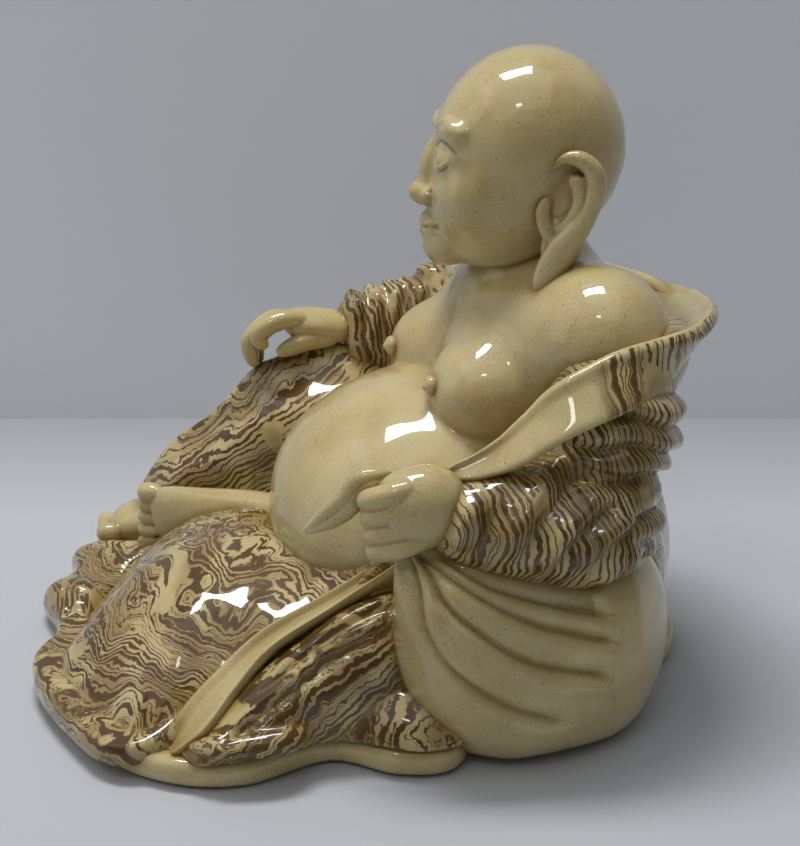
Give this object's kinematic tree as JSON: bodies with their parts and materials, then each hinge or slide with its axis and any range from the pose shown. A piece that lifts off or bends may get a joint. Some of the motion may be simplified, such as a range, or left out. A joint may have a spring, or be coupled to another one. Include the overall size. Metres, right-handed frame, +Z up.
{
  "type": "laughing buddha figurine",
  "caption": "Glazed clay ornament of a seated, bald, big-bellied monk in an open marbled robe, one hand on a raised knee and a sack held at the other side.",
  "frame": {"origin": "middle of the bounding box's underside, on the surface that the figurine stands on", "axes": "+Z up, -Y the way the figure's body faces, +X the figure's own left side, where the sack is"},
  "size_m": [0.1554, 0.1662, 0.1495],
  "materials": {
    "plain_glazed_clay": "glossy clear crackle glaze over pale clay",
    "marbled_glazed_clay": "glossy clear crackle glaze over marbled brown and tan clay"
  },
  "bodies": {
    "root": {"base_slab": "plain_glazed_clay", "body_shell": "plain_glazed_clay", "head_shell": "plain_glazed_clay", "left_ear": "plain_glazed_clay", "right_ear": "plain_glazed_clay", "left_nipple": "plain_glazed_clay", "right_nipple": "plain_glazed_clay", "left_arm": "plain_glazed_clay", "right_arm": "plain_glazed_clay", "left_sleeve": "marbled_glazed_clay", "right_sleeve": "marbled_glazed_clay", "left_collar": "plain_glazed_clay", "right_collar": "plain_glazed_clay", "robe_back": "marbled_glazed_clay", "left_hand": "plain_glazed_clay", "right_hand": "plain_glazed_clay", "sack": "plain_glazed_clay", "sack_tail": "plain_glazed_clay", "left_foot": "plain_glazed_clay", "right_foot": "plain_glazed_clay", "right_leg_drape": "marbled_glazed_clay", "left_leg_drape": "marbled_glazed_clay", "side_skirt": "marbled_glazed_clay", "skirt_hem": "marbled_glazed_clay", "fold_lining": "plain_glazed_clay"}
  },
  "joints": []
}
